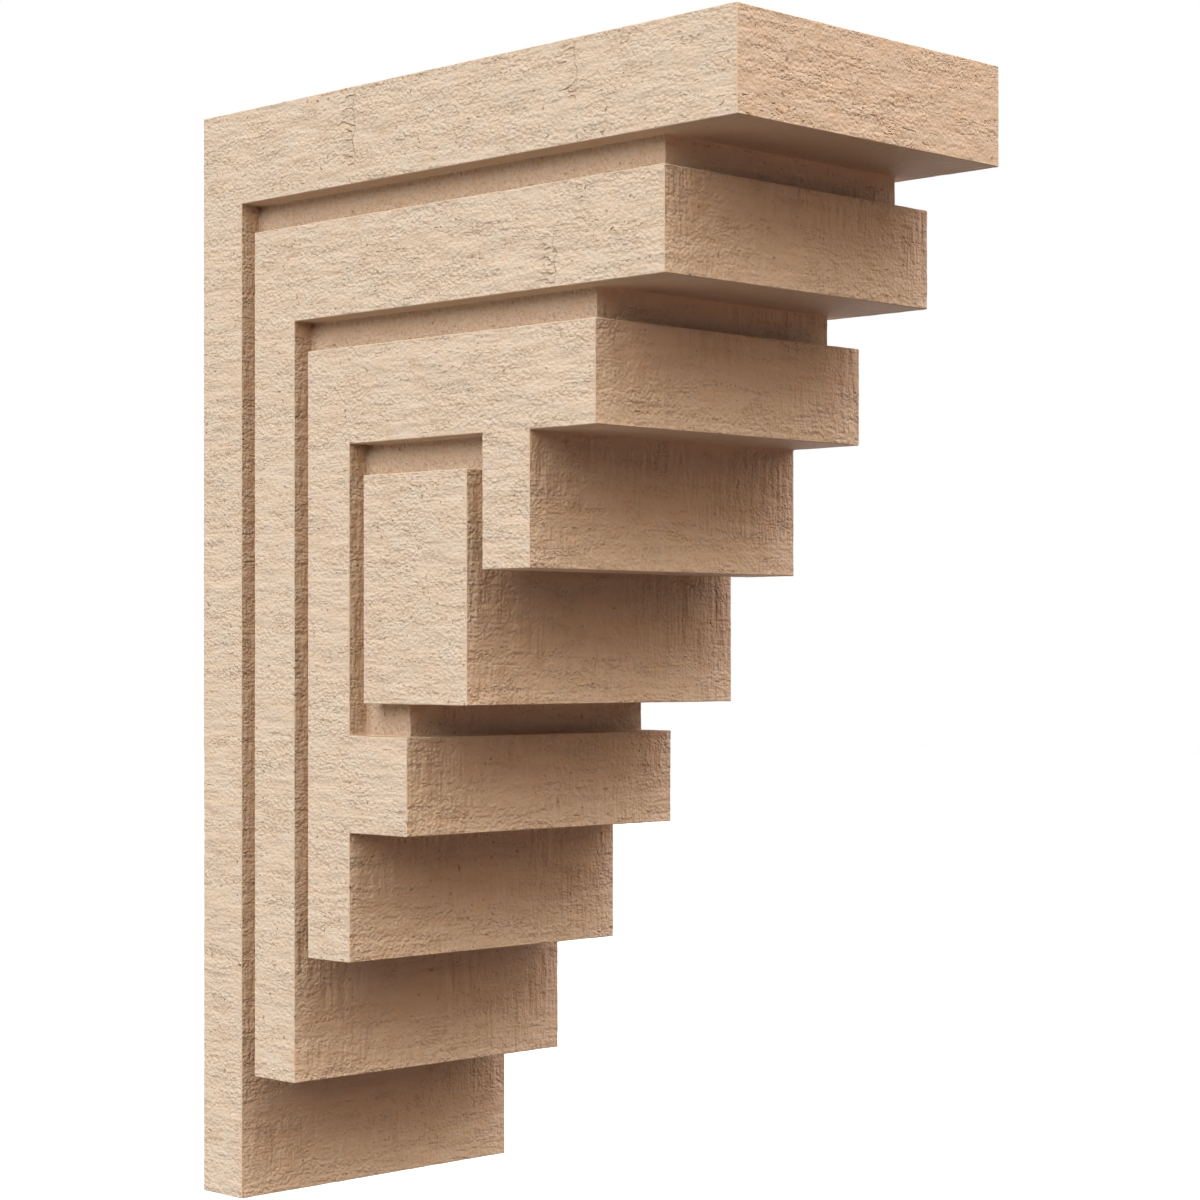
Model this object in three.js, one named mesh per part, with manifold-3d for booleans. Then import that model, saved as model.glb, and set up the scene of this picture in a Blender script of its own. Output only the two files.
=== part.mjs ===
// A stepped corbel, moulded in one piece, that hangs on a wall under a beam or a shelf.
// Millimetres. X is the width, the back face stands at Y = 0 and the corbel reaches out to -Y,
// and Z is up with 0 halfway up the back, so the origin is the middle of the back face.

import * as THREE from 'three';
import { mergeVertices } from 'three/addons/utils/BufferGeometryUtils.js';
import Module from 'manifold-3d';

// Overall sizes
const width = 152.4;
const projection = 304.8;
const height = 457.2;

// The grooves that part the bands, as they are seen from the side
const grooveRun = 8.71; // across an upright groove
const grooveRise = 13.06; // across a level groove
const grooveDepth = 9.525; // from a side face in to the core

// The core's open ends stay behind the shorter of the two bands that they part
const coreSetBack = 8.71; // behind a band's front
const coreSetUp = 13.06; // above a band's lower end

// Nine equal steps run down the front, with a groove between each two
const stepCount = 9;
const last = stepCount - 1;
const bandRun = (projection - last * grooveRun) / stepCount;
const bandRise = (height - last * grooveRise) / stepCount;

// Columns count out from the wall, rows count down from the top
function back(column) {
  return column * (bandRun + grooveRun);
}

function front(column) {
  return back(column) + bandRun;
}

function top(row) {
  return height / 2 - row * (bandRise + grooveRise);
}

function bottom(row) {
  return top(row) - bandRise;
}

function columnMiddle(column) {
  return back(column) + bandRun / 2;
}

function rowMiddle(row) {
  return top(row) - bandRise / 2;
}

// A slab under the top with a leg down the wall: layer 0 is the outer one, layer 1 lies within it
function angleBand(layer) {
  return [
    [back(layer), top(layer)],
    [front(last - layer), top(layer)],
    [front(last - layer), bottom(layer)],
    [front(layer), bottom(layer)],
    [front(layer), bottom(last - layer)],
    [back(layer), bottom(last - layer)],
  ];
}

// The third layer has a drop under its slab and a foot on its leg, and so hooks round the block
function hookBand() {
  return [
    [back(2), top(2)],
    [front(6), top(2)],
    [front(6), bottom(2)],
    [front(5), bottom(2)],
    [front(5), bottom(3)],
    [back(5), bottom(3)],
    [back(5), bottom(2)],
    [front(2), bottom(2)],
    [front(2), top(5)],
    [front(3), top(5)],
    [front(3), bottom(5)],
    [front(2), bottom(5)],
    [front(2), bottom(6)],
    [back(2), bottom(6)],
  ];
}

// The block in the middle of the pattern is two steps each way
function blockBand() {
  return [
    [back(3), top(3)],
    [front(4), top(3)],
    [front(4), bottom(4)],
    [back(3), bottom(4)],
  ];
}

// The core fills the grooves, and inside the bands its outline runs along their middles
function coreOutline() {
  return [
    [columnMiddle(0), rowMiddle(0)],
    [front(7) - coreSetBack, rowMiddle(0)],
    [front(7) - coreSetBack, rowMiddle(1)],
    [front(6) - coreSetBack, rowMiddle(1)],
    [front(6) - coreSetBack, rowMiddle(2)],
    [columnMiddle(5), rowMiddle(2)],
    [columnMiddle(5), bottom(3) + coreSetUp],
    [columnMiddle(4), bottom(3) + coreSetUp],
    [columnMiddle(4), rowMiddle(4)],
    [front(3) - coreSetBack, rowMiddle(4)],
    [front(3) - coreSetBack, rowMiddle(5)],
    [columnMiddle(2), rowMiddle(5)],
    [columnMiddle(2), bottom(6) + coreSetUp],
    [columnMiddle(1), bottom(6) + coreSetUp],
    [columnMiddle(1), bottom(7) + coreSetUp],
    [columnMiddle(0), bottom(7) + coreSetUp],
  ];
}

// A side outline, given as distances out from the wall and heights, made as wide as asked
function outlineGeometry(outline, across) {
  const shape = new THREE.Shape(outline.map(([out, up]) => new THREE.Vector2(out, up)));
  const geometry = new THREE.ExtrudeGeometry(shape, { depth: across, bevelEnabled: false });
  geometry.translate(0, 0, -across / 2);
  const outward = new THREE.Vector3(0, -1, 0);
  const upward = new THREE.Vector3(0, 0, 1);
  const sideways = new THREE.Vector3(-1, 0, 0);
  geometry.applyMatrix4(new THREE.Matrix4().makeBasis(outward, upward, sideways));
  return geometry;
}

const wasm = await Module();
wasm.setup();

function solidFrom(geometry) {
  const bare = geometry.clone();
  bare.deleteAttribute('normal');
  bare.deleteAttribute('uv');
  const merged = mergeVertices(bare);
  const vertProperties = new Float32Array(merged.attributes.position.array);
  const triVerts = new Uint32Array(merged.index.array);
  return new wasm.Manifold(new wasm.Mesh({ numProp: 3, vertProperties, triVerts }));
}

function geometryFrom(solid) {
  const mesh = solid.getMesh();
  const geometry = new THREE.BufferGeometry();
  geometry.setAttribute('position', new THREE.BufferAttribute(mesh.vertProperties, 3));
  geometry.setIndex(new THREE.BufferAttribute(mesh.triVerts, 1));
  geometry.computeVertexNormals();
  return geometry;
}

// The bands are full width and the core is narrower, so the grooves are cut into both sides
const bands = [angleBand(0), angleBand(1), hookBand(), blockBand()];
let corbelSolid = solidFrom(outlineGeometry(coreOutline(), width - 2 * grooveDepth));
for (const band of bands) {
  corbelSolid = corbelSolid.add(solidFrom(outlineGeometry(band, width)));
}

const tanUrethane = new THREE.MeshStandardMaterial({ color: 0xb9936f, roughness: 0.85, metalness: 0 });

const corbel = new THREE.Mesh(geometryFrom(corbelSolid), tanUrethane);
corbel.name = 'corbel';

const part = new THREE.Group();
part.add(corbel);

export default part;
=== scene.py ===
import bpy
import math
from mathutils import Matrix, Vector


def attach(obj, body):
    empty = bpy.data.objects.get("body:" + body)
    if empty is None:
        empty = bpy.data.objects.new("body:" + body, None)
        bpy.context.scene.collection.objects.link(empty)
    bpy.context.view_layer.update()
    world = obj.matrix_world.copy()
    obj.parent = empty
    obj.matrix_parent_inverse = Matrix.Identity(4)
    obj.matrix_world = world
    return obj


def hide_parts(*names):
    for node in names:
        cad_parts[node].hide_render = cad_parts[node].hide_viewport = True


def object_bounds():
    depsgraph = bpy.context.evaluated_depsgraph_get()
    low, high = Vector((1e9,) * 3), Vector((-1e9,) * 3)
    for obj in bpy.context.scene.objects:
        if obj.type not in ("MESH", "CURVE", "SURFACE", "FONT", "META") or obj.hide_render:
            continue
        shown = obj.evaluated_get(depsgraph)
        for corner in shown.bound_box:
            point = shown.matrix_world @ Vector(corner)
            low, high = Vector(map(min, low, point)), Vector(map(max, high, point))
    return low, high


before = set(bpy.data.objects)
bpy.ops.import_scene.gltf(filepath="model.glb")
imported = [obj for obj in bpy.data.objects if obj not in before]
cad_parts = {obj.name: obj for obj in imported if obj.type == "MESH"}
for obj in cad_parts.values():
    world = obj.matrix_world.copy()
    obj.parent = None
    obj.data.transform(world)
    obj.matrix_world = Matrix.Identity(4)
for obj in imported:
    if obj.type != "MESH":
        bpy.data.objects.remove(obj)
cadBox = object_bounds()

# The corbel hangs on the wall plane Y = 0 and reaches out to -Y, and all sizes are metres
lowCorner, highCorner = (Vector(corner) for corner in cadBox)
width = highCorner.x - lowCorner.x
projection = highCorner.y - lowCorner.y
height = highCorner.z - lowCorner.z
hairline = 1e-5          # places nearer to each other than this are one place


# Camera at the photograph's place: level with the middle, 45 degrees round to the corbel's left

cameraSettings = {
    "place": (-0.8045, -0.9551, 0.0003),
    "turn": -45.0,          # degrees about Z, 0 looks along +Y
    "sensor": 36.0,
    "lens": 83.65,
    "shiftX": 0.0173,
    "shiftY": 0.0451,
}


def addCamera(settings):
    looking = (math.pi / 2, 0, math.radians(settings["turn"]))
    bpy.ops.object.camera_add(location=settings["place"], rotation=looking)
    camera = bpy.context.object
    camera.name = "photoCamera"
    camera.data.sensor_width = settings["sensor"]
    camera.data.lens = settings["lens"]
    camera.data.shift_x = settings["shiftX"]
    camera.data.shift_y = settings["shiftY"]
    bpy.context.scene.camera = camera


addCamera(cameraSettings)
print("camera set")


# Corbel form: the side pattern is cut into cells, which are pulled out to the core
# and then to the bands

corbelForm = {
    "steps": 9,
    "grooveRun": 0.00871,      # across an upright groove
    "grooveRise": 0.01306,     # across a level groove
    "grooveDepth": 0.009525,   # from a side face in to the core
    "coreSetBack": 0.00871,    # core's open front ends, behind a band's front
    "coreSetUp": 0.01306,      # core's open lower ends, above a band's end
    "edgeRound": 0.00028,
    "sharpFrom": 30.0,         # degrees between two faces that make a sharp edge
    "fineAcross": 0.0026,      # longest fine edge along X, Y and Z
    "fineOut": 0.0029,
    "fineUp": 0.0017,
    "squareFrom": 0.995,       # least part of a normal along one axis, on a face that isn't an edge
}

lastStep = corbelForm["steps"] - 1
bandRun = (projection - lastStep * corbelForm["grooveRun"]) / corbelForm["steps"]
bandRise = (height - lastStep * corbelForm["grooveRise"]) / corbelForm["steps"]
coreHalf = width / 2 - corbelForm["grooveDepth"]


# Columns count out from the wall and rows count down from the top

def back(column):
    return column * (bandRun + corbelForm["grooveRun"])


def front(column):
    return back(column) + bandRun


def top(row):
    return highCorner.z - row * (bandRise + corbelForm["grooveRise"])


def bottom(row):
    return top(row) - bandRise


def bandAreas():
    # Each area is out from, out to, highest, lowest
    areas = []
    for layer in range(3):
        areas.append((back(layer), front(lastStep - layer), top(layer), bottom(layer)))
        areas.append((back(layer), front(layer), top(layer), bottom(lastStep - layer)))
    areas.append((back(5), front(5), top(2), bottom(3)))   # drop
    areas.append((back(2), front(3), top(5), bottom(5)))   # foot
    areas.append((back(3), front(4), top(3), bottom(4)))   # block
    return areas


def coreAreas():
    setBack = corbelForm["coreSetBack"]
    setUp = corbelForm["coreSetUp"]
    areas = []
    for layer in range(2):
        inner = lastStep - 1 - layer
        areas.append((front(layer), front(inner) - setBack, bottom(layer), top(layer + 1)))
        areas.append((front(layer), back(layer + 1), bottom(layer), bottom(inner) + setUp))
    areas.append((front(2), back(5), bottom(2), top(3)))
    areas.append((front(2), back(3), bottom(2), top(5)))
    areas.append((front(4), back(5), bottom(2), bottom(3) + setUp))
    areas.append((front(2), front(3) - setBack, bottom(4), top(5)))
    return areas


def isInside(areas, out, up):
    return any(a[0] < out < a[1] and a[3] < up < a[2] for a in areas)


def stationsOf(areas, first, second):
    return sorted({round(a[k], 7) for a in areas for k in (first, second)})


def deselectAll():
    if bpy.context.object and bpy.context.object.mode == 'EDIT':
        bpy.ops.object.mode_set(mode='OBJECT')
    bpy.ops.object.select_all(action='DESELECT')


def makeActive(piece):
    deselectAll()
    piece.select_set(True)
    bpy.context.view_layer.objects.active = piece


def pickFaces(piece, test):
    # Ends in edit mode with just the faces chosen whose middle and normal pass the test
    bpy.ops.object.mode_set(mode='EDIT')
    bpy.ops.mesh.select_mode(type='FACE')
    bpy.ops.mesh.select_all(action='DESELECT')
    bpy.ops.object.mode_set(mode='OBJECT')
    for face in piece.data.polygons:
        face.select = test(face.center, face.normal)
    bpy.ops.object.mode_set(mode='EDIT')


def pickEdges(piece, test):
    # Ends in edit mode with just the edges chosen whose two ends pass the test
    bpy.ops.object.mode_set(mode='EDIT')
    bpy.ops.mesh.select_mode(type='EDGE')
    bpy.ops.mesh.select_all(action='DESELECT')
    bpy.ops.object.mode_set(mode='OBJECT')
    points = piece.data.vertices
    for edge in piece.data.edges:
        edge.select = test(points[edge.vertices[0]].co, points[edge.vertices[1]].co)
    bpy.ops.object.mode_set(mode='EDIT')


def spansOne(start, end, axis, spans):
    # An edge along the axis that reaches over most of one of the spans
    low, high = sorted((start[axis], end[axis]))
    middle = (low + high) / 2
    astray = max(abs(start[k] - end[k]) for k in range(3) if k != axis)
    if astray > 2 * corbelForm["edgeRound"]:
        return False
    return any(a < middle < b and high - low > (b - a) / 2 for a, b in spans)


def cutFinely(piece, axis, stations, longest):
    # Divides every span between two stations evenly, in one go for spans with as many cuts
    spansByCuts = {}
    for low, high in zip(stations, stations[1:]):
        cuts = math.ceil((high - low) / longest) - 1
        if cuts > 0:
            spansByCuts.setdefault(cuts, []).append((low, high))
    for cuts, spans in spansByCuts.items():
        pickEdges(piece, lambda start, end: spansOne(start, end, axis, spans))
        bpy.ops.mesh.subdivide(number_cuts=cuts)


def pullAcross(distance):
    # Extrudes the chosen faces along X
    bpy.ops.mesh.extrude_region_move(TRANSFORM_OT_translate={"value": (distance, 0, 0)})


def buildCorbel():
    deselectAll()
    areas = bandAreas()
    cores = coreAreas()
    middlePlace = (0, -projection / 2, 0)
    bpy.ops.mesh.primitive_plane_add(size=1, location=middlePlace, rotation=(0, math.pi / 2, 0))
    piece = bpy.context.object
    piece.name = "roughSawnCorbel"
    piece.data.name = "roughSawnCorbel"
    bpy.ops.transform.resize(value=(1, projection, height))
    bpy.ops.object.transform_apply(location=True, rotation=True, scale=True)

    outStations = stationsOf(areas + cores, 0, 1)
    upStations = stationsOf(areas + cores, 2, 3)
    bpy.ops.object.mode_set(mode='EDIT')
    for out in outStations[1:-1]:
        bpy.ops.mesh.select_all(action='SELECT')
        bpy.ops.mesh.bisect(plane_co=(0, -out, 0), plane_no=(0, 1, 0))
    for up in upStations[1:-1]:
        bpy.ops.mesh.select_all(action='SELECT')
        bpy.ops.mesh.bisect(plane_co=(0, 0, up), plane_no=(0, 0, 1))
    pickFaces(piece, lambda middle, normal: not isInside(areas + cores, -middle.y, middle.z))
    bpy.ops.mesh.delete(type='FACE')

    # One half: the core first, then the bands on past it
    def isBandOnCore(middle, normal):
        return middle.x > coreHalf - hairline and isInside(areas, -middle.y, middle.z)

    bpy.ops.mesh.select_all(action='SELECT')
    pullAcross(coreHalf)
    pickFaces(piece, isBandOnCore)
    pullAcross(corbelForm["grooveDepth"])
    pickFaces(piece, lambda middle, normal: abs(middle.x) < hairline)
    bpy.ops.mesh.delete(type='FACE')
    bpy.ops.object.mode_set(mode='OBJECT')
    mirror = piece.modifiers.new("otherHalf", 'MIRROR')
    mirror.use_axis = (True, False, False)
    mirror.merge_threshold = hairline
    bpy.ops.object.modifier_apply(modifier=mirror.name)

    bpy.ops.object.mode_set(mode='EDIT')
    bpy.ops.mesh.select_all(action='SELECT')
    bpy.ops.mesh.normals_make_consistent(inside=False)
    bpy.ops.mesh.select_mode(type='EDGE')
    bpy.ops.mesh.select_all(action='DESELECT')
    bpy.ops.mesh.edges_select_sharp(sharpness=math.radians(corbelForm["sharpFrom"]))
    bpy.ops.mesh.bevel(offset=corbelForm["edgeRound"], segments=1, affect='EDGES')

    acrossStations = [-width / 2, -coreHalf, 0, coreHalf, width / 2]
    cutFinely(piece, 0, acrossStations, corbelForm["fineAcross"])
    cutFinely(piece, 1, sorted(-out for out in outStations), corbelForm["fineOut"])
    cutFinely(piece, 2, upStations, corbelForm["fineUp"])

    # The back lies on the wall, so it stays one flat face
    def isBack(middle, normal):
        return normal.y > corbelForm["squareFrom"] and middle.y > -hairline

    pickFaces(piece, isBack)
    bpy.ops.mesh.dissolve_faces()
    bpy.ops.object.mode_set(mode='OBJECT')
    return piece


corbel = buildCorbel()
print("corbel form built:", len(corbel.data.polygons), "faces")


# Saw relief: each kind of face is pushed in and out by clouds, stretched the way that the saw
# and the grain ran. Cells and depths are metres.

reliefSettings = {
    "sideRipple": {"group": "sides", "cell": (0.012, 0.012, 0.0034), "depth": 0.0008},
    "sideSwell": {"group": "sides", "cell": (0.040, 0.040, 0.013), "depth": 0.0004},
    "frontLumps": {"group": "fronts", "cell": (0.0052, 0.0052, 0.0046), "depth": 0.0007},
    "frontSawing": {"group": "fronts", "cell": (0.0046, 0.02, 0.030), "depth": 0.0005},
    "levelGrain": {"group": "levels", "cell": (0.020, 0.006, 0.006), "depth": 0.00025},
    "wallLumps": {"group": "walls", "cell": (0.0045, 0.0045, 0.0045), "depth": 0.00024},
    "edgeNicks": {"group": "edges", "cell": (0.0060, 0.0060, 0.0060), "depth": 0.00030, "octaves": 2},
}


def kindOf(place, facing):
    # The kind of face at a place on the corbel
    across, out, up = (abs(part) for part in facing)
    if max(across, out, up) < corbelForm["squareFrom"]:
        return "edges"
    if across > max(out, up):
        return "floors" if abs(place.x) < coreHalf + hairline else "sides"
    if out > up:
        return "walls" if facing.y > 0 else "fronts"
    return "undersides" if facing.z < 0 else "tops"


def sortVertices(piece):
    # Every vertex that isn't on the back goes into the group of its kind of face
    groups = {"sides": [], "floors": [], "fronts": [], "walls": [], "levels": [], "edges": []}
    piece.data.update()
    for point in piece.data.vertices:
        if point.co.y > -hairline:
            continue
        kind = kindOf(point.co, point.normal)
        groups["levels" if kind in ("undersides", "tops") else kind].append(point.index)
    for group, members in groups.items():
        piece.vertex_groups.new(name=group).add(members, 1.0, 'REPLACE')


def pushRelief(piece, name, settings):
    # The empty's scale stretches the clouds
    deselectAll()
    bpy.ops.object.empty_add(location=(0, 0, 0))
    gauge = bpy.context.object
    gauge.scale = settings["cell"]
    bpy.context.view_layer.update()
    clouds = bpy.data.textures.new(name, 'CLOUDS')
    clouds.noise_scale = 1.0
    clouds.noise_depth = settings.get("octaves", 1)
    makeActive(piece)
    push = piece.modifiers.new(name, 'DISPLACE')
    push.texture = clouds
    push.texture_coords = 'OBJECT'
    push.texture_coords_object = gauge
    push.vertex_group = settings["group"]
    push.strength = settings["depth"]
    push.mid_level = 0.5       # half of the clouds' range goes in and half goes out
    bpy.ops.object.modifier_apply(modifier=push.name)
    bpy.data.objects.remove(gauge)
    bpy.data.textures.remove(clouds)


def markFaces(piece, kinds):
    # The finish reads these marks, 1 on their own kind of face and 0 elsewhere
    for kind in sorted(set(kinds)):
        marks = piece.data.attributes.new(name=kind + "Mark", type='FLOAT', domain='FACE')
        marks.data.foreach_set("value", [1.0 if own == kind else 0.0 for own in kinds])


sortVertices(corbel)
# The faces are sorted before the relief tilts them, and marked after it
faceKinds = [kindOf(face.center, face.normal) for face in corbel.data.polygons]
for reliefName, reliefPart in reliefSettings.items():
    pushRelief(corbel, reliefName, reliefPart)
markFaces(corbel, faceKinds)
makeActive(corbel)
bpy.ops.object.shade_smooth_by_angle(angle=math.radians(corbelForm["sharpFrom"]))
print("saw relief pushed in")


# Finish: matt tan urethane, with ripples along the sides, saw lines down the fronts, torn specks,
# pits and three cracks

class Wire:
    # One socket of a material: an expression on wires adds its Math nodes
    def __init__(self, tree, socket):
        self.tree = tree
        self.socket = socket

    def node(self, kind, settings=None, values=None, output=0):
        made = self.tree.nodes.new(kind)
        for name, value in (settings or {}).items():
            setattr(made, name, value)
        for name, value in (values or {}).items():
            if isinstance(value, Wire):
                self.tree.links.new(value.socket, made.inputs[name])
            else:
                made.inputs[name].default_value = value
        return Wire(self.tree, made.outputs[output] if made.outputs else None)

    def maths(self, operation, first, second):
        return self.node("ShaderNodeMath", {"operation": operation}, {0: first, 1: second})

    def __add__(self, other):
        return self.maths('ADD', self, other)

    __radd__ = __add__

    def __mul__(self, other):
        return self.maths('MULTIPLY', self, other)

    __rmul__ = __mul__

    def __sub__(self, other):
        return self.maths('SUBTRACT', self, other)

    def __rsub__(self, other):
        return self.maths('SUBTRACT', other, self)

    def __abs__(self):
        return self.maths('ABSOLUTE', self, 0.0)

    def atMost(self, limit):
        return self.maths('MINIMUM', self, limit)

    def axis(self, letter):
        return self.node("ShaderNodeSeparateXYZ", {}, {"Vector": self}, output=letter)

    def stretched(self, cell):
        # Coordinates counted in cells of this size in metres
        inverse = tuple(1 / size for size in cell)
        return self.node("ShaderNodeVectorMath", {"operation": 'MULTIPLY'}, {0: self, 1: inverse})

    def noise(self, cell, detail, rough=0.5):
        values = {"Vector": self.stretched(cell), "Scale": 1.0, "Detail": detail, "Roughness": rough}
        return self.node("ShaderNodeTexNoise", {}, values)

    def pebbles(self, cell, rim):
        # High in the middle of rounded grains, 0 at this distance from it and low between them
        values = {"Vector": self.stretched(cell), "Scale": 1.0}
        return rim - self.node("ShaderNodeTexVoronoi", {}, values)

    def between(self, low, high):
        # 0 at low, 1 at high and smooth in between, also when low is above high
        values = {"Value": self, "From Min": low, "From Max": high}
        return self.node("ShaderNodeMapRange", {"interpolation_type": 'SMOOTHSTEP'}, values)

    def spread(self, low, high):
        # Low where this is 0, and high where it is 1
        return self * (high - low) + low

    def mix(self, first, second, amount):
        values = {"Factor": amount, "A": first, "B": second}
        return self.node("ShaderNodeMix", {"data_type": 'RGBA'}, values, output="Result")


def freshTree(owner):
    # An empty node tree on a material or a world, and a wire to start from
    owner.use_nodes = True
    owner.node_tree.nodes.clear()
    return Wire(owner.node_tree, None)


# A cell is a grain's size in metres along X, Y and Z, and a relief's depth is in millimetres.
# A fade is the two noise values between which a patch goes from none to full.
urethaneFinish = {
    "tan": (0.638, 0.454, 0.328, 1),
    # paleTan gives the paler random tone, and the painted light on the sides and edges
    "paleTan": (0.640, 0.528, 0.450, 1),
    # the colour towards which the painted shade darkens grooves, undersides, hollows and pits
    "paintedShadeTan": (0.36, 0.22, 0.14, 1),
    # darker, greyer tan painted on the top as shade, to hold back the strong light from above
    "topPaintedShadeTan": (0.41, 0.31, 0.23, 1),
    "roughness": 0.82,
    "specular": 0.12,
    "millimetre": 0.001,

    # Relief of the sides
    "ripple": {"cell": (0.0180, 0.0180, 0.0028), "detail": 2.0, "rough": 0.55, "depth": 0.70},
    "grain": {"cell": (0.0022, 0.0022, 0.0016), "detail": 2.0, "rough": 0.58, "depth": 0.60},
    "sidePebbles": {"cell": (0.0018, 0.0018, 0.0014), "rim": 0.42, "depth": 0.36},
    # Relief of the fronts
    "lumps": {"cell": (0.0028, 0.0028, 0.0024), "detail": 2.0, "rough": 0.62, "depth": 0.62},
    "frontPebbles": {"cell": (0.0017, 0.0017, 0.0014), "rim": 0.42, "depth": 0.34},
    "rows": {"cell": (0.0280, 0.0280, 0.0032), "detail": 2.0, "rough": 0.58, "depth": 0.70},
    "sawing": {"cell": (0.0034, 0.0500, 0.0240), "detail": 2.0, "rough": 0.55, "depth": 1.80},
    # Relief of the groove walls and floors, and of the level faces
    "groove": {"cell": (0.0018, 0.0018, 0.0036), "detail": 3.0, "rough": 0.65, "depth": 2.80},
    "floor": {"cell": (0.0016, 0.0016, 0.0020), "detail": 2.0, "rough": 0.60, "depth": 1.80},
    "smooth": {"cell": (0.0034, 0.0022, 0.0050), "detail": 2.0, "rough": 0.55, "depth": 0.50},
    "topGrain": {"cell": (0.0026, 0.0026, 0.0026), "detail": 2.0, "rough": 0.60, "depth": 1.00},

    "roughPlaces": {"cell": (0.0350, 0.0350, 0.0070), "detail": 1.0, "fade": (0.35, 0.65)},
    "roughLeast": 0.6,         # share of the relief outside the rough places, and in them
    "roughMost": 1.3,
    "sawnPlaces": {"cell": (0.0300, 0.0300, 0.0200), "detail": 0.0, "fade": (0.40, 0.56)},
    "lowStepFade": (0.188, 0.178),     # heights that part the top step's front from those below it
    "topStepRelief": 0.72,     # share of the relief on the top step's front, and below it
    "lowStepRelief": 1.18,

    # Small torn specks, in level rows
    "tornPlaces": {"cell": (0.0200, 0.0200, 0.0080), "detail": 0.0, "fade": (0.42, 0.56)},
    "tornSpecks": {"cell": (0.0018, 0.0018, 0.0010), "detail": 1.0, "fade": (0.54, 0.66)},
    "tornRows": {"cell": (0.0500, 0.0500, 0.0080), "detail": 1.0, "width": 0.09},
    "tornDepth": 0.45,
    "sideTorn": 0.75,          # share of the specks' depth on the sides
    "pits": {"cell": (0.0022, 0.0022, 0.0018), "detail": 0.0, "fade": (0.80, 0.86)},
    "pitDepth": 0.40,

    # Fine upright cracks in the sides, with short level tears towards the wall
    "cracks": [
        {"along": -0.0988, "low": 0.1985, "high": 0.2240},
        {"along": -0.2246, "low": 0.2070, "high": 0.2240},
        {"along": -0.2138, "low": 0.1400, "high": 0.1550},
    ],
    "crackWander": {"cell": (0.0060, 0.0060, 0.0050), "detail": 1.0, "rough": 0.5, "depth": 0.0050},
    "crackWidth": 0.0007,      # this, the wander's depth and the lengths below are metres
    "crackDepth": 0.32,
    "crackEnd": 0.004,         # length over which a crack runs out
    "tearPlaces": {"cell": (0.0070, 0.0070, 0.0026), "detail": 1.0, "fade": (0.50, 0.36)},
    "tearStart": (-0.001, 0.001),      # distances from the crack where tears begin and end
    "tearEnd": (0.0130, 0.002),
    "tearDepth": 0.68,

    # Colour, with painted shade and painted light
    "hue": {"cell": (0.0090, 0.0090, 0.0060), "detail": 2.0, "fade": (0.30, 0.72)},
    "hueBloom": 0.35,          # how much paler the pale places are
    "sidePaintedLight": 0.55,         # how much paler the sides are, painted light where the key light falls
    "floorPaintedShade": 0.10,        # painted shade in the groove floors
    "wallPaintedShade": 0.05,
    "underPaintedShade": 0.15,
    "topPaintedShade": 0.80,
    # painted highlight along the rounded edges
    "edgePaintedHighlight": 0.15,
    "hollowFade": (0.05, -0.30),       # depths between which the painted shade in hollows comes in
    "hollowPaintedShade": 0.11,
    "sideHollowPaintedShade": 0.14,   # more of it on the sides
    "grooveHollowPaintedShade": 0.16, # and in the grooves
    "pitPaintedShade": 0.7,
}


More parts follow.
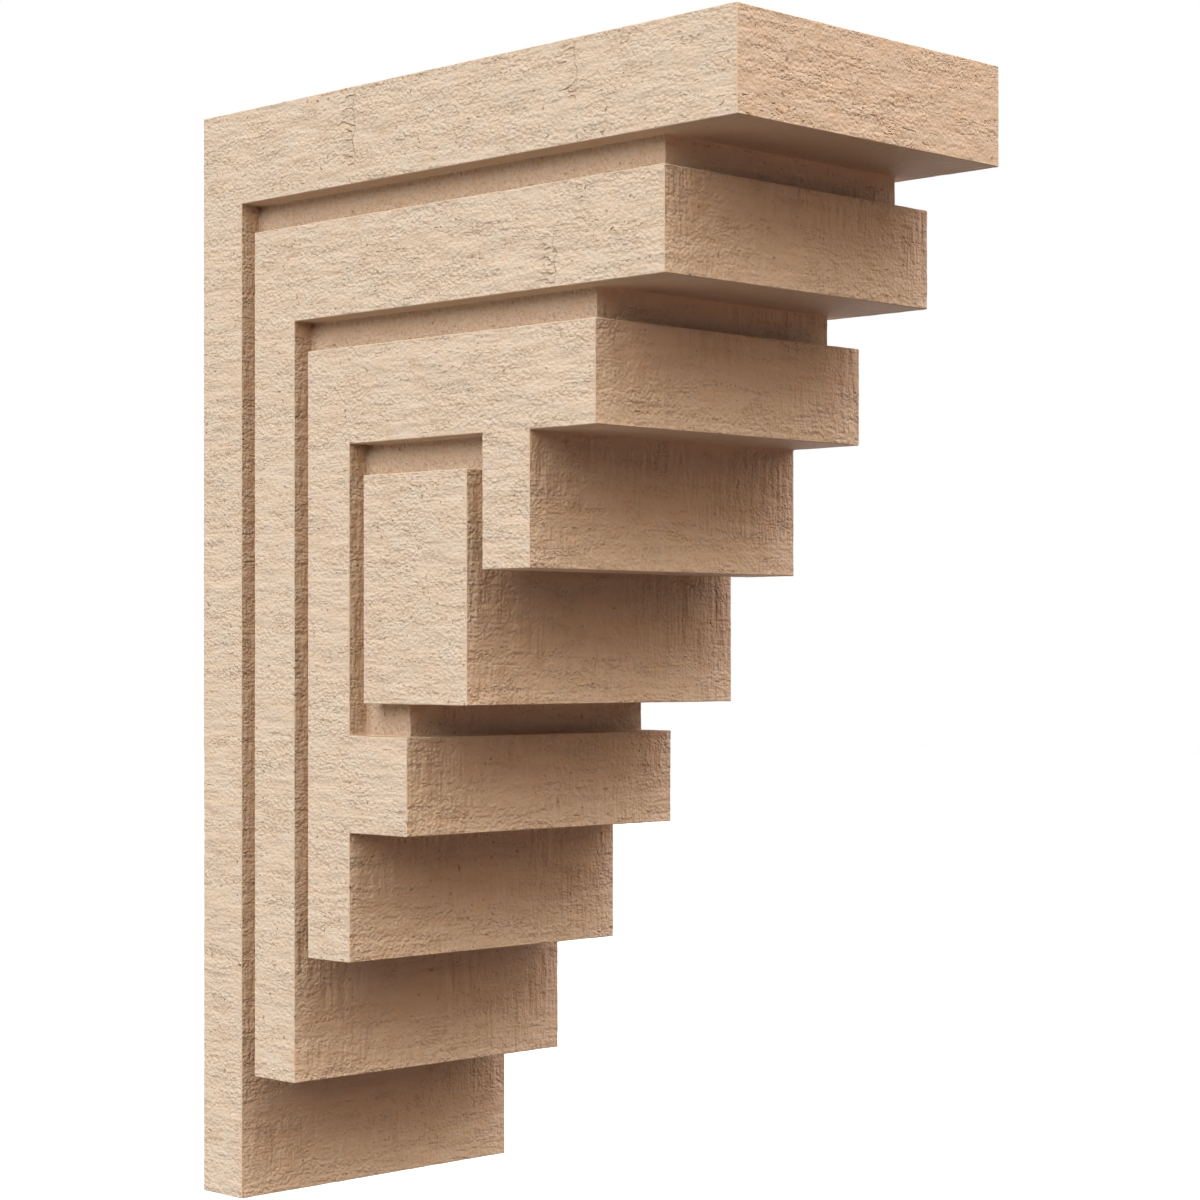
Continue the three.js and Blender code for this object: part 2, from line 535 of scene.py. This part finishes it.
def makeUrethane(name, look):
    finish = bpy.data.materials.new(name)
    start = freshTree(finish)
    place = start.node("ShaderNodeTexCoord", output="Object")
    along = place.axis("Y")
    up = place.axis("Z")

    def mark(kind):
        return start.node("ShaderNodeAttribute", {"attribute_name": kind + "Mark"}, output="Fac")

    def relief(kind):
        part = look[kind]
        return (place.noise(part["cell"], part["detail"], part["rough"]) - 0.5) * part["depth"]

    def pebbles(kind):
        part = look[kind]
        return place.pebbles(part["cell"], part["rim"]) * part["depth"]

    def patches(kind):
        part = look[kind]
        return place.noise(part["cell"], part["detail"]).between(*part["fade"])

    def lines(kind):
        # 1 along the middle line between a noise's high and low places
        part = look[kind]
        return abs(place.noise(part["cell"], part["detail"]) - 0.5).between(part["width"], 0.0)

    sides = mark("sides")
    fronts = mark("fronts")
    walls = mark("walls")
    floors = mark("floors")
    undersides = mark("undersides")
    tops = mark("tops")

    # Cracks wander a little and fade at their ends
    wander = relief("crackWander")
    tearPlaces = patches("tearPlaces")

    def crackFrom(crack):
        offset = along + wander - crack["along"]
        line = abs(offset).between(look["crackWidth"], 0.0)
        aboveLow = up.between(crack["low"] - look["crackEnd"], crack["low"])
        belowHigh = up.between(crack["high"] + look["crackEnd"], crack["high"])
        beside = offset.between(*look["tearStart"]) * offset.between(*look["tearEnd"])
        torn = beside * tearPlaces * look["tearDepth"]
        return (line * look["crackDepth"] + torn) * (aboveLow * belowHigh)

    cracked = sum(crackFrom(crack) for crack in look["cracks"])
    torn = patches("tornSpecks") * lines("tornRows") * patches("tornPlaces")
    pits = patches("pits")

    roughShare = patches("roughPlaces").spread(look["roughLeast"], look["roughMost"])
    lowSteps = up.between(*look["lowStepFade"])
    stepShare = lowSteps.spread(look["topStepRelief"], look["lowStepRelief"])
    sideHeight = relief("ripple") + (relief("grain") + pebbles("sidePebbles")) * roughShare
    sideHeight = sideHeight - torn * look["sideTorn"] * look["tornDepth"] - cracked
    frontHeight = (relief("lumps") + relief("rows") + pebbles("frontPebbles")) * roughShare
    frontHeight = frontHeight * stepShare + relief("sawing") * (patches("sawnPlaces") * lowSteps)
    frontHeight = frontHeight - torn * look["tornDepth"]
    faceHeight = sides * sideHeight + fronts * frontHeight
    grooveHeight = walls * relief("groove") + floors * relief("floor")
    levelHeight = undersides * relief("smooth") + tops * relief("topGrain")
    roughHeight = faceHeight + grooveHeight + levelHeight
    fullHeight = roughHeight - pits * look["pitDepth"]

    # Painted shade: deeper colour in the grooves, on the undersides, in hollows and pits, and on the
    # top to hold back the light from above; painted light makes the sides and edges paler
    hollow = roughHeight.between(*look["hollowFade"])
    hollowPaintedShade = sides * look["sideHollowPaintedShade"] + (walls + floors) * look["grooveHollowPaintedShade"]
    hollowPaintedShade = hollowPaintedShade + look["hollowPaintedShade"]
    # Painted shade: hollows of the relief and the pits are darkened towards the shade colour
    paintedHollowShade = (pits * look["pitPaintedShade"] + hollow * hollowPaintedShade).atMost(1.0)
    # Paler in random patches, and paler on the sides as painted light
    toneAndPaintedSideLight = patches("hue") * look["hueBloom"] + sides * look["sidePaintedLight"]
    # Painted shade in the groove floors and walls and on the undersides, where the recesses and the
    # steps above keep light off
    shade = floors * look["floorPaintedShade"] + walls * look["wallPaintedShade"] + undersides * look["underPaintedShade"]
    colour = start.mix(look["tan"], look["paleTan"], toneAndPaintedSideLight)
    colour = start.mix(colour, look["paintedShadeTan"], shade)
    # Painted shade on the top, against the strong light that falls on it from above
    colour = start.mix(colour, look["topPaintedShadeTan"], tops * look["topPaintedShade"])
    colour = start.mix(colour, look["paintedShadeTan"], paintedHollowShade)
    # Painted highlight: the rounded edges are paler, as if catching the light
    colour = start.mix(colour, look["paleTan"], mark("edges") * look["edgePaintedHighlight"])

    bumpValues = {"Strength": 1.0, "Distance": look["millimetre"], "Height": fullHeight}
    surfaceValues = {
        "Base Color": colour,
        "Roughness": look["roughness"],
        "Specular IOR Level": look["specular"],
        "Normal": start.node("ShaderNodeBump", {}, bumpValues),
    }
    surface = start.node("ShaderNodeBsdfPrincipled", {}, surfaceValues)
    start.node("ShaderNodeOutputMaterial", {}, {"Surface": surface})
    return finish


corbel.data.materials.append(makeUrethane("roughSawnUrethane", urethaneFinish))
print("finish made")


# Studio: soft lights, a white surround and a pale floor. An azimuth of 0 is in front of the
# corbel and 270 on its left, and colours are strengths too.

studioLights = {
    "keyLeft": {"azimuth": 270, "elevation": 30, "colour": (0.655, 0.682, 0.695)},
    "sideLeft": {"azimuth": 300, "elevation": 30, "colour": (0.345, 0.293, 0.195)},
    "topLeft": {"azimuth": 300, "elevation": 60, "colour": (0.310, 0.315, 0.300)},
    "topFront": {"azimuth": 0, "elevation": 60, "colour": (0.590, 0.665, 0.650)},
    "topRight": {"azimuth": 60, "elevation": 60, "colour": (0.380, 0.390, 0.480)},
    "sideRight": {"azimuth": 60, "elevation": 30, "colour": (0.248, 0.240, 0.194)},
    "warmFront": {"azimuth": 30, "elevation": 30, "colour": (0.126, 0.052, 0.014)},
    "levelFront": {"azimuth": 30, "elevation": 0, "colour": (0.049, 0.063, 0.069)},
    "lowFront": {"azimuth": 30, "elevation": -30, "colour": (0.145, 0.081, 0.049)},
    "lowLeft": {"azimuth": 240, "elevation": -30, "colour": (0.225, 0.208, 0.172)},
    "backRight": {"azimuth": 135, "elevation": 0, "colour": (0.600, 0.585, 0.570)},
}
studio = {
    "lightSpread": 45.0,       # degrees across each light
    "floorHeight": -1.3,
    "floorAcross": 60.0,
    "floorColour": (0.93, 0.93, 0.93, 1),
    "floorRoughness": 0.9,
    "surroundColour": (1, 1, 1, 1),
}


def addLights():
    for name, light in studioLights.items():
        azimuth = math.radians(light["azimuth"])
        elevation = math.radians(light["elevation"])
        level = math.cos(elevation)
        sideways = math.sin(azimuth) * level
        outwards = math.cos(azimuth) * level
        towards = Vector((sideways, -outwards, math.sin(elevation)))
        turn = towards.to_track_quat('Z', 'Y').to_euler()
        bpy.ops.object.light_add(type='SUN', rotation=turn)
        lamp = bpy.context.object
        lamp.name = name
        brightest = max(light["colour"])
        lamp.data.color = [part / brightest for part in light["colour"]]
        lamp.data.energy = math.pi * brightest
        lamp.data.angle = math.radians(studio["lightSpread"])


def addFloor():
    # Seen by the camera and mirrored in the undersides, but it throws no soft light or shadow
    deselectAll()
    floorPlace = (0, 0, studio["floorHeight"])
    bpy.ops.mesh.primitive_plane_add(size=studio["floorAcross"], location=floorPlace)
    floor = bpy.context.object
    floor.name = "paleFloor"
    floor.visible_diffuse = False
    floor.visible_shadow = False
    paint = bpy.data.materials.new("palePaint")
    start = freshTree(paint)
    values = {"Base Color": studio["floorColour"], "Roughness": studio["floorRoughness"]}
    surface = start.node("ShaderNodeBsdfPrincipled", {}, values)
    start.node("ShaderNodeOutputMaterial", {}, {"Surface": surface})
    floor.data.materials.append(paint)


def addSurround():
    # White behind the object, and dark to the light that falls on it
    world = bpy.data.worlds.new("surround")
    bpy.context.scene.world = world
    start = freshTree(world)
    seen = start.node("ShaderNodeLightPath", output="Is Camera Ray")
    values = {"Color": studio["surroundColour"], "Strength": seen}
    backdrop = start.node("ShaderNodeBackground", {}, values)
    start.node("ShaderNodeOutputWorld", {}, {"Surface": backdrop})


addLights()
addFloor()
addSurround()
bpy.context.scene.view_settings.view_transform = 'Standard'
print("studio set")

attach(corbel, "root")
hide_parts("corbel")
